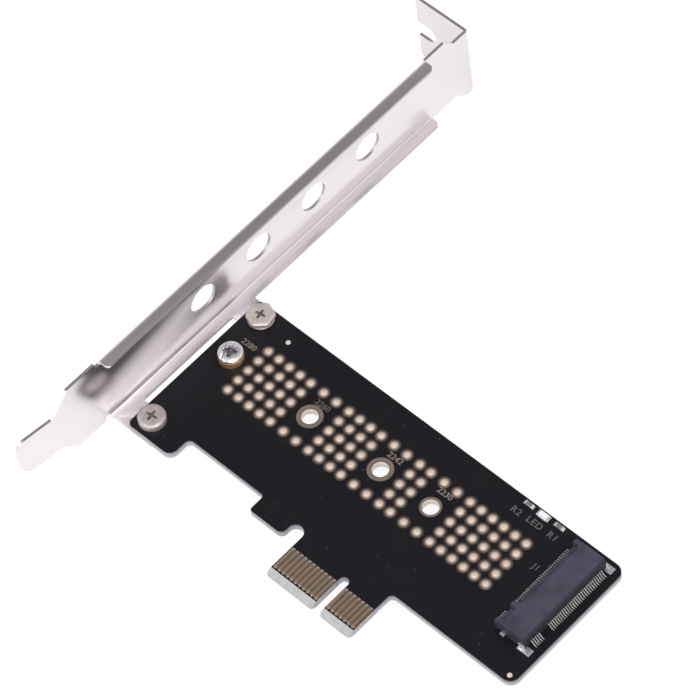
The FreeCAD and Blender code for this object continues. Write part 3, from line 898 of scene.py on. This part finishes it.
    def _dots(self) -> None:
        """Layers of the dots on the component face, and their round faces underneath."""
        points = [(x, y, 0.0) for x, y in self.dot_places()]
        for band in self.dot_bands:
            material, = self.finishes.get(band.finish)
            radius, low, high = band.radius, band.low, band.high
            edge = min(self.dot_edge, (high - low) / 2)
            profile = [(0, low), (radius, low), (radius, high - edge), (radius - edge, high), (0, high)]
            work = lathe(profile, (0.0, 0.0), self.dot_turns)
            template = from_bmesh(band.name + "_template", work, [material], self.dot_sharp_deg)
            self.add(PointArray(band.name, template).build(points, material, math.pi), "pad_tin", *band.replaced)

    def _rings(self) -> None:
        """Two-tone rings round the plated holes, and plain ones on the underside."""
        rings = []
        for x, (node, middle, outer) in zip(self.hole_xs, self.rings):
            rings.append((node + "_inner", x, self.hole_r, middle, 0.0, self.inner_rise, Finishes.RING_INNER, ()))
            rings.append((node + "_outer", x, middle, outer, 0.0, self.ring_rise, Finishes.RING, (node,)))
        rings += [(f"under_ring_{index}", x, self.hole_r, self.under_ring_r, -BOARD_T - self.under_ring_drop,
                   -BOARD_T, Finishes.RING, ()) for index, x in enumerate(self.hole_xs)]
        for name, x, inner, outer, low, high, finish, replaced in rings:
            corners = ((inner, low), (outer, low), (outer, high), (inner, high))
            work = lathe(corners, (x, self.hole_y), self.ring_turns, closed=True)
            self.add(from_bmesh(name, work, self.finishes.get(finish)), "ring_copper", *replaced)

    def _legend(self, index: int, legend: Legend) -> None:
        """Print one legend on the board.

        Args:
            index: Number used in its name.
            legend: What is printed, and where.
        """
        curve = bpy.data.curves.new("legend", "FONT")
        curve.body = legend.text
        curve.resolution_u = self.ink_steps
        curve.extrude = self.ink_thick
        curve.offset = self.ink_bold
        curve.space_character = self.word_spacing if len(legend.text) < self.code_length else self.code_spacing
        template = bpy.data.objects.new("legend", curve)
        bpy.context.scene.collection.objects.link(template)
        mesh = evaluated_mesh(template)
        bpy.data.objects.remove(template)
        spans = [[corner.co[axis] for corner in mesh.vertices] for axis in range(2)]
        middle = [(min(span) + max(span)) / 2 for span in spans]
        scale = legend.height / (max(spans[1]) - min(spans[1])) * MM
        place = Matrix.Translation((legend.x * MM, legend.y * MM, self.ink_rise * MM))
        mesh.transform(place @ Matrix.Diagonal((scale, scale, scale, 1.0))
                       @ Matrix.Translation((-middle[0], -middle[1], 0.0)))
        mesh.materials.clear()
        ink = self.finishes.get(Finishes.LEGEND_FAINT if legend.faint else Finishes.LEGEND)
        self.add(to_object(f"legend_{index}", mesh, ink), "pad_tin")


@dataclass
class RearBracket(Assembly):
    """The folded bracket; sizes in millimetres."""

    flange_x: float = -57.5
    upright: float = 0.1
    facing: float = 0.9
    ease_width: float = 0.14
    vent_ys: tuple[float, ...] = (32.30, 47.13, 61.96, 76.79)
    vent_z: float = 6.955
    vent_r: float = 3.15

    def build(self) -> None:
        """Ease its sheared edges and plate it, with a duller finish where the shear cut it."""
        self.ease("bracket", "bracket_steel", self.ease_width, Finishes.NICKEL, Finishes.SHEARED,
                  segments=3, pick=self._look)

    def _look(self, face: BMFace) -> int:
        """Say which finish a face of the bracket takes.

        Args:
            face: The face.

        Returns:
            0 for a rolled face, 1 for the cut at a flange's free edge or round a vent.
        """
        middle = face.calc_center_median() / MM
        if abs(face.normal.x) < self.upright:
            return int(any(math.hypot(middle.y - y, middle.z - self.vent_z) < self.vent_r * HOLE_MARGIN
                           for y in self.vent_ys))
        return int(abs(face.normal.x) > self.facing and middle.x > self.flange_x)


@dataclass(frozen=True)
class CrossRecess:
    """Cross-shaped driver recess, in millimetres."""

    reach: float
    half_width: float
    depth: float
    wall: float
    turn_deg: float
    root: float = 1.25
    taper: float = 0.45
    rise: float = 0.35
    end_walls: float = 3

    def drop(self, x: float, y: float) -> float:
        """How far the recess sinks the head at a place.

        Args:
            x: Place along X from the middle.
            y: Place along Y from the middle.

        Returns:
            The drop in millimetres.
        """
        angle = math.radians(self.turn_deg)
        u = x * math.cos(angle) + y * math.sin(angle)
        v = -x * math.sin(angle) + y * math.cos(angle)
        depth = 0.0
        for along, across in ((abs(u), abs(v)), (abs(v), abs(u))):
            width = self.half_width * (self.root - self.taper * along / self.reach)
            side = min(1.0, max(0.0, (width + self.wall - across) / self.wall))
            end = min(1.0, max(0.0, (self.reach - along) / (self.wall * self.end_walls)))
            depth = max(depth, self.depth * side * end * (1.0 - self.rise * along / self.reach))
        return depth


@dataclass(frozen=True)
class Washer:
    """Washer face under a head, in millimetres; its corners are eased."""

    radius: float
    thick: float
    neck: float
    low_ease: float = 0.06
    high_ease: float = 0.08

    def profile(self, base: float) -> list[Spot]:
        """Radius and height of each corner, from the seat up to the head's base."""
        radius, thick, low, high = self.radius, self.thick, self.low_ease, self.high_ease
        return [(radius - low, 0.0), (radius, low), (radius, thick - high), (radius - high, thick),
                (self.neck, thick), (self.neck, base)]


@dataclass(frozen=True)
class HeadShape:
    """Head of a screw: its outline, rim and crown, in millimetres."""

    radius: float
    rim: float
    top: float
    crown: float = 9.0
    flats: bool = False
    turn_deg: float = 0.0
    base: float = 0.0
    corner: float = 1.10
    ease: float = 0.07
    rim_ease: float = 0.08
    crown_inset: float = 0.04
    washer: Washer | None = None

    def edge(self, angle: float) -> float:
        """Distance from the axis to the outline, round or six-sided with rounded corners."""
        turn = (angle - math.radians(self.turn_deg) + math.pi / 6) % (math.pi / 3) - math.pi / 6
        return min(self.radius / math.cos(turn), self.radius * self.corner) if self.flats else self.radius

    def height(self, share: float) -> float:
        """Height of the crown, at a share of the way out that is 0 on the axis and 1 at the edge."""
        return self.rim + (self.top - self.rim) * (1.0 - share ** self.crown)


@dataclass(frozen=True)
class Shank:
    """Threaded shank of a screw, in millimetres."""

    radius: float
    tip_z: float
    pitch: float = 0.5
    depth: float = 0.22
    step: float = 0.07
    tip_share: float = 0.72

    def thread(self, angle: float, height: float) -> float:
        """Radius of the helical thread in a direction, at a height."""
        return self.radius - self.depth * abs(((height / self.pitch - angle / math.tau) % 1.0) * 2.0 - 1.0)


@dataclass(frozen=True)
class Screw:
    """One screw: the node it replaces, its slot, axis and shapes, and finishes of metal and painted-shade recess."""

    name: str
    node: str
    slot: str
    centre: Spot
    head: HeadShape
    recess: CrossRecess
    shank: Shank
    looks: tuple[Finish, Finish]


@dataclass
class Fasteners(Assembly):
    """Bracket screws, standoff with its nut, and the module screw; sizes in millimetres."""

    screws: tuple[Screw, ...] = (
        Screw("pan_screw", "bracket_screw_low", "screw_nickel", (BOARD_SCREW_X, 9.90),
              HeadShape(2.70, 1.20, 1.60), CrossRecess(1.25, 0.18, 0.5, 0.10, 8.0), Shank(1.45, -3.0),
              (Finishes.WORN_NICKEL, Finishes.RECESS_PAINTED_SHADE)),
        Screw("hex_screw", "bracket_screw_top", "screw_nickel", (BOARD_SCREW_X, 38.80),
              HeadShape(2.55, 1.34, 1.60, flats=True, turn_deg=13.0, base=0.62, washer=Washer(2.60, 0.36, 2.25)),
              CrossRecess(1.15, 0.18, 0.45, 0.10, 10.0), Shank(1.45, -3.0),
              (Finishes.WARM_NICKEL, Finishes.RECESS_PAINTED_SHADE)),
        Screw("wafer_screw", "module_screw", "screw_bright", STANDOFF_AT,
              HeadShape(2.42, STANDOFF_H + 0.42, STANDOFF_H + 1.0, crown=2.6, base=STANDOFF_H),
              CrossRecess(1.45, 0.30, 0.6, 0.16, 30.0), Shank(0.95, -1.0),
              (Finishes.CHROME, Finishes.BRIGHT_RECESS_PAINTED_SHADE)),
    )
    turns: int = 144
    crown_steps: int = 46
    crown_spread: float = 0.8
    sunk: float = 0.06
    sharp_deg: float = 38
    standoff_turns: int = 96
    nut_ease: float = 0.12

    def build(self) -> None:
        """Build the three screws, the standoff and the nut."""
        for screw in self.screws:
            self._screw(screw)
        self._standoff()
        self.ease("standoff_nut", "brass_turned", self.nut_ease, Finishes.BRASS)

    def _screw(self, screw: Screw) -> None:
        """Build one screw from its tip to its crown.

        Args:
            screw: The screw.
        """
        work = bmesh.new()
        (x0, y0), head, recess, shank = screw.centre, screw.head, screw.recess, screw.shank
        angles = [math.tau * k / self.turns for k in range(self.turns)]

        def ring(radius: Callable[[float], float], height: Callable[[float, float], float]) -> list[BMVert]:
            """Vertices at the given radius and height for each direction."""
            spots = [(radius(angle) * math.cos(angle), radius(angle) * math.sin(angle)) for angle in angles]
            return [work.verts.new(((x0 + x) * MM, (y0 + y) * MM, height(x, y) * MM)) for x, y in spots]

        def level(radius: Callable[[float], float] | float, height: float) -> list[BMVert]:
            """Ring at one height, with a radius that is one number or a rule for each direction."""
            return ring(radius if callable(radius) else lambda _angle: radius, lambda _x, _y: height)

        seat = 0.0 if head.washer else head.base
        rings = [[work.verts.new((x0 * MM, y0 * MM, shank.tip_z * MM))],
                 level(shank.radius * shank.tip_share, shank.tip_z)]
        count = int((seat - shank.tip_z) / shank.step)
        for step in range(1, count):
            height = shank.tip_z + (seat - shank.tip_z) * step / count
            rings.append(level(lambda angle: shank.thread(angle, height), height))
        rings.append(level(shank.radius - shank.depth, seat))
        if head.washer:
            rings += [level(radius, height) for radius, height in head.washer.profile(head.base)]
        rings.append(level(lambda angle: head.edge(angle) - head.ease, head.base))
        rings += [level(head.edge, height) for height in (head.base + head.ease, head.rim - head.rim_ease)]
        for step in range(self.crown_steps):
            share = (1.0 - step / self.crown_steps) ** self.crown_spread
            inset = 0.0 if step else head.crown_inset
            rings.append(ring(lambda angle: head.edge(angle) * share - inset,
                              lambda x, y: head.height(share) - recess.drop(x, y)))
        rings.append([work.verts.new((x0 * MM, y0 * MM, (head.top - recess.drop(0, 0)) * MM))])
        join_rings(work, rings)
        # Faces sunk in the recess take the darker second finish: painted shade.
        for face in work.faces:
            middle = face.calc_center_median() / MM
            sunk = recess.drop(middle.x - x0, middle.y - y0) > self.sunk
            face.material_index = int(sunk and middle.z > head.rim - recess.depth)
        piece = from_bmesh(screw.name, work, self.finishes.get(*screw.looks), self.sharp_deg)
        self.add(piece, screw.slot, screw.node)

    def _standoff(self) -> None:
        """Turned brass standoff with eased shoulders and a bored top, down to its stud."""
        top = STANDOFF_H
        profile = [
            (0, -3.12), (1.25, -3.12), (1.45, -2.95), (1.50, -BOARD_T), (1.50, 0.0), (2.40, 0.0), (2.50, 0.10),
            (2.50, top - 0.30), (2.47, top - 0.18), (2.40, top - 0.06), (2.28, top), (1.0, top), (1.0, top - 0.5),
            (0, top - 0.5)]
        work = lathe(profile, STANDOFF_AT, self.standoff_turns)
        piece = from_bmesh("standoff_turned", work, self.finishes.get(Finishes.BRASS))
        self.add(piece, "brass_turned", "standoff")


@dataclass(frozen=True)
class PinShape:
    """Bent strip of a contact seen from the side, in millimetres."""

    path: tuple[Spot, ...]
    thick: float = 0.15
    width: float = 0.22
    bend: float = 0.14
    bend_steps: int = 4
    ease: float = 0.03
    sharp_deg: float = 40

    def rounded(self) -> list[Vector]:
        """Round the inner corners of the path.

        Returns:
            The rounded path.
        """
        corners = [Vector(corner) for corner in self.path]
        path = [corners[0]]
        for before, here, after in zip(corners, corners[1:], corners[2:]):
            start, end = (here + (other - here).normalized() * min(self.bend, (other - here).length / 2)
                          for other in (before, after))
            for step in range(self.bend_steps + 1):
                t = step / self.bend_steps
                path.append(start * (1 - t) ** 2 + here * (2 * t * (1 - t)) + end * t ** 2)
        return path + corners[-1:]

    def template(self, name: str, materials: Sequence[Material]) -> Object:
        """Sweep a small flat section along the path.

        Args:
            name: Name of the template.
            materials: Its material.

        Returns:
            The template.
        """
        path, t, w, e = self.rounded(), self.thick / 2, self.width / 2, self.ease
        section = ((e - w, -t), (w - e, -t), (w, e - t), (w, t - e), (w - e, t), (e - w, t), (-w, t - e), (-w, e - t))
        work = bmesh.new()
        rings = []
        for index, (x, z) in enumerate(path):
            along = (path[min(index + 1, len(path) - 1)] - path[max(index - 1, 0)]).normalized()
            rings.append([work.verts.new(((x - along.y * v) * MM, u * MM, (z + along.x * v) * MM))
                          for u, v in section])
        for end in (rings[0], rings[-1]):
            work.faces.new(end)
        join_rings(work, rings)
        return from_bmesh(name, work, materials, self.sharp_deg)


@dataclass(frozen=True)
class SolderBead:
    """Solder that climbs from a lug's foot to its upright; lengths in millimetres."""

    name: str
    wall_y: float
    outward: float
    low_x: float = 32.66
    high_x: float = 33.82
    foot_z: float = 0.235
    reach: float = 0.46
    climb: float = 0.72
    swell: float = 1.05
    steps: int = 14
    curve_steps: int = 9
    sharp_deg: float = 50

    def build(self, materials: Sequence[Material]) -> Object:
        """Skin the bead along X, with a hollow slope between its two feet.

        Args:
            materials: Its material.

        Returns:
            The bead.
        """
        work = bmesh.new()
        rings = []
        for step in range(self.steps + 1):
            share = step / self.steps
            swell = math.sqrt(math.sin(math.pi * share)) * self.swell if 0 < step < self.steps else 0.0
            x = self.low_x + (self.high_x - self.low_x) * share
            spots = [(0.0, 0.0)]
            for k in range(self.curve_steps + 1 if swell else 0):
                angle = math.pi / 2 * k / self.curve_steps
                spots.append((self.reach * (1.0 - math.sin(angle)) * swell,
                              self.climb * (1.0 - math.cos(angle)) * swell))
            rings.append([work.verts.new((x * MM, (self.wall_y + self.outward * out) * MM, (self.foot_z + up) * MM))
                          for out, up in spots])
        join_rings(work, rings)
        return from_bmesh(self.name, work, materials, self.sharp_deg)


@dataclass
class ModuleSocket(Assembly):
    """The socket that takes the drive module; sizes in millimetres."""

    pitch: float = 0.5
    rear_starts: Spot = (38.35, 21.85)
    front_starts: Spot = (38.10, 21.60)
    rear_counts: tuple[int, int] = (29, 5)
    front_counts: tuple[int, int] = (29, 4)
    rear: PinShape = PinShape(((33.80, 0.86), (34.02, 0.86), (34.66, 0.09), (35.15, 0.08)), width=0.25, bend=0.2)
    front: PinShape = PinShape(((25.95, 0.075), (27.92, 0.075), (27.94, 1.335), (30.80, 1.335)))
    rear_wall_x: float = 33.0
    facing: float = 0.5
    housing_ease: float = 0.03
    lug_ease: float = 0.05
    beads: tuple[SolderBead, ...] = (SolderBead("solder_bead_high", 40.09, 1.0),
                                     SolderBead("solder_bead_low", 17.86, -1.0))

    def build(self) -> None:
        """Build the housing, its contacts, its lugs and their solder."""
        self.ease("connector_housing", "connector_plastic", self.housing_ease, Finishes.HOUSING,
                  Finishes.HOUSING_REAR_PAINTED_SHADE, name="socket_housing", pick=self._look)
        self._row("rear_contacts", self.rear, self.rear_starts, self.rear_counts, "contacts_rear")
        self._row("front_contacts", self.front, self.front_starts, self.front_counts, "contacts_front")
        for node in ("hold_down_high", "hold_down_low", "front_lug"):
            self.ease(node, "tinned_contact", self.lug_ease, Finishes.PLATE)
        for bead in self.beads:
            self.add(bead.build(self.finishes.get(Finishes.SOLDER)), "solder")

    def _look(self, face: BMFace) -> int:
        """Finish of a face: 0 for the moulding, 1 for its rear wall, darker as painted shade."""
        return int(face.normal.x > self.facing and face.calc_center_median().x / MM > self.rear_wall_x)

    def _row(self, name: str, shape: PinShape, starts: Spot, counts: tuple[int, int], node: str) -> None:
        """Build one row of contacts.

        Args:
            name: Name of the piece.
            shape: Side view of one contact.
            starts: Y of the first contact in the long and in the short group.
            counts: Contacts in each group.
            node: CAD node that it replaces.
        """
        tin = self.finishes.get(Finishes.TIN)
        points = [(0.0, first - self.pitch * k, 0.0) for first, count in zip(starts, counts) for k in range(count)]
        array = PointArray(name, shape.template(name + "_template", tin))
        self.add(array.build(points, *tin), "tinned_contact", node)


@dataclass
class SmallParts(Assembly):
    """Indicator lamp and resistors by the top edge: each node's slot, eased width and finish."""

    parts: tuple[tuple[str, str, float, Finish], ...] = (
        ("led_base", "led_white", 0.05, Finishes.LAMP_WHITE),
        ("led_lens", "led_clear", 0.10, Finishes.LAMP_MILK),
        ("led_ends", "tinned_contact", 0.12, Finishes.SOLDER),
        ("r1_body", "resistor_ceramic", 0.05, Finishes.CERAMIC),
        ("r1_ends", "solder", 0.10, Finishes.SOLDER),
        ("r2_body", "resistor_ceramic", 0.05, Finishes.CERAMIC),
        ("r2_ends", "solder", 0.10, Finishes.SOLDER),
    )

    def build(self) -> None:
        """Dress the lamp and the resistors."""
        for node, slot, ease_mm, finish in self.parts:
            self.ease(node, slot, ease_mm, finish)


# ---------------------------------------------------------------- studio

@dataclass(frozen=True)
class Lamp:
    """One soft area light: where it stands, what it looks at, its size and its power."""

    name: str
    place: Point
    aim: Point
    size: float
    power: float

    def build(self) -> None:
        """Place the light in the scene."""
        data = bpy.data.lights.new(self.name, "AREA")
        data.shape = "DISK"
        data.size = self.size
        data.energy = self.power
        holder = bpy.data.objects.new(self.name, data)
        bpy.context.scene.collection.objects.link(holder)
        holder.location = self.place
        holder.rotation_euler = (Vector(self.aim) - Vector(self.place)).to_track_quat("-Z", "Y").to_euler()


@dataclass
class Studio:
    """Floor, sky, lamps and camera."""

    floor_size: float = 6.0
    floor_gap: float = 0.0001
    floor_colour: float = 0.52
    mirror_glow: float = 0.43
    eye_colour: float = 0.15
    eye_glow: float = 0.90
    lamps: tuple[Lamp, ...] = (
        Lamp("key_light", (0.55, -0.35, 1.1), (0.0, 0.04, 0.0), 0.9, 9.0),
        Lamp("fill_light", (-0.5, -0.9, 0.7), (0.0, 0.04, 0.0), 0.8, 3.0),
    )
    sky_low: Point = (0.74, 0.73, 0.74)
    sky_high: Point = (0.97, 0.96, 0.97)
    sky_z: Spot = (0.2, 0.8)
    sky_patch: Point = (0.23, 0.212, 0.212)
    patch_toward: Point = (-0.43, 0.35, 0.83)
    patch_span: Spot = (0.64, 0.98)
    clip: Spot = (0.01, 20.0)
    focal_mm: float = 227.02
    sensor_mm: float = 36.0
    eye_mm: Point = (317.15, -238.90, 676.50)
    right: Point = (0.7265, 0.6811, -0.0908)
    down: Point = (0.5354, -0.6439, -0.5466)
    ahead: Point = (-0.4308, 0.3485, -0.8325)

    def build(self, low: Vector, high: Vector) -> None:
        """Set up the whole studio.

        Args:
            low: Lowest corner of the card.
            high: Highest corner of the card.
        """
        self._floor(low.z)
        self._sky()
        for lamp in self.lamps:
            lamp.build()
        self._camera()
        LOG.info("studio round %s to %s", tuple(low), tuple(high))

    def _floor(self, level: float) -> None:
        """White paper that shows the eye a fainter shadow than it shows polished metal.

        Args:
            level: Height of the floor in metres.
        """
        material = bpy.data.materials.new("paper")
        material.use_nodes = True
        nodes = material.node_tree.nodes
        nodes.remove(nodes["Principled BSDF"])
        wiring = Wiring(material.node_tree)
        path = wiring.add("ShaderNodeLightPath")
        mirrored = wiring.maths("MAXIMUM", path["Is Glossy Ray"], path["Is Transmission Ray"])
        looks = []
        for colour, glow, seen in ((self.floor_colour, self.mirror_glow, mirrored),
                                   (self.eye_colour, self.eye_glow, path["Is Camera Ray"])):
            paper = wiring.add("ShaderNodeBsdfDiffuse", {"Color": (colour, colour, colour, 1.0)})
            light = wiring.add("ShaderNodeEmission", {"Strength": wiring.maths("MULTIPLY", seen, glow)})
            looks.append(wiring.add("ShaderNodeAddShader", {0: paper[0], 1: light[0]})[0])
        choice = wiring.add("ShaderNodeMixShader", {0: path["Is Camera Ray"], 1: looks[0], 2: looks[1]})
        wiring.feed(nodes["Material Output"], {"Surface": choice[0]})
        work = bmesh.new()
        bmesh.ops.create_grid(work, x_segments=2, y_segments=2, size=self.floor_size / 2)
        floor = from_bmesh("floor", work, [material])
        floor.location.z = level - self.floor_gap
        floor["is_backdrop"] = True

    def _sky(self) -> None:
        """Pale, brighter overhead but for a grey patch there, and plain white where the eye sees it."""
        world = bpy.data.worlds.new("studio")
        world.use_nodes = True
        bpy.context.scene.world = world
        wiring = Wiring(world.node_tree)
        place = wiring.add("ShaderNodeTexCoord")["Generated"]
        toward = wiring.add("ShaderNodeVectorMath", {0: place, 1: self.patch_toward}, operation="DOT_PRODUCT")
        pale = wiring.blend(wiring.span(wiring.split(place)["Z"], *self.sky_z), self.sky_low, self.sky_high)
        sky = wiring.blend(wiring.span(toward["Value"], *self.patch_span), pale, self.sky_patch)
        seen = wiring.blend(wiring.add("ShaderNodeLightPath")["Is Camera Ray"], sky, (1.0, 1.0, 1.0))
        wiring.feed(world.node_tree.nodes["Background"], {"Color": seen})

    def _camera(self) -> None:
        """Place the camera with its long lens."""
        data = bpy.data.cameras.new("camera")
        data.lens = self.focal_mm
        data.sensor_width = self.sensor_mm
        data.clip_start, data.clip_end = self.clip
        camera = bpy.data.objects.new("camera", data)
        bpy.context.scene.collection.objects.link(camera)
        turn = Matrix((self.right, [-value for value in self.down], [-value for value in self.ahead])).transposed()
        camera.matrix_world = Matrix.Translation([value * MM for value in self.eye_mm]) @ turn.to_4x4()
        bpy.context.scene.camera = camera


def main() -> None:
    """Build the card's looks round its fixed frame."""
    logging.basicConfig(level=logging.INFO, format="%(message)s")
    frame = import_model()
    cad_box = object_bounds()
    finishes = Finishes()
    for kind in (CircuitBoard, RearBracket, Fasteners, ModuleSocket, SmallParts):
        LOG.info("building %s", kind.__name__)
        kind(frame["nodes"], finishes).build()
    Studio().build(*cad_box)
    bpy.context.scene.view_settings.view_transform = "Standard"


if __name__ == "__main__":
    main()
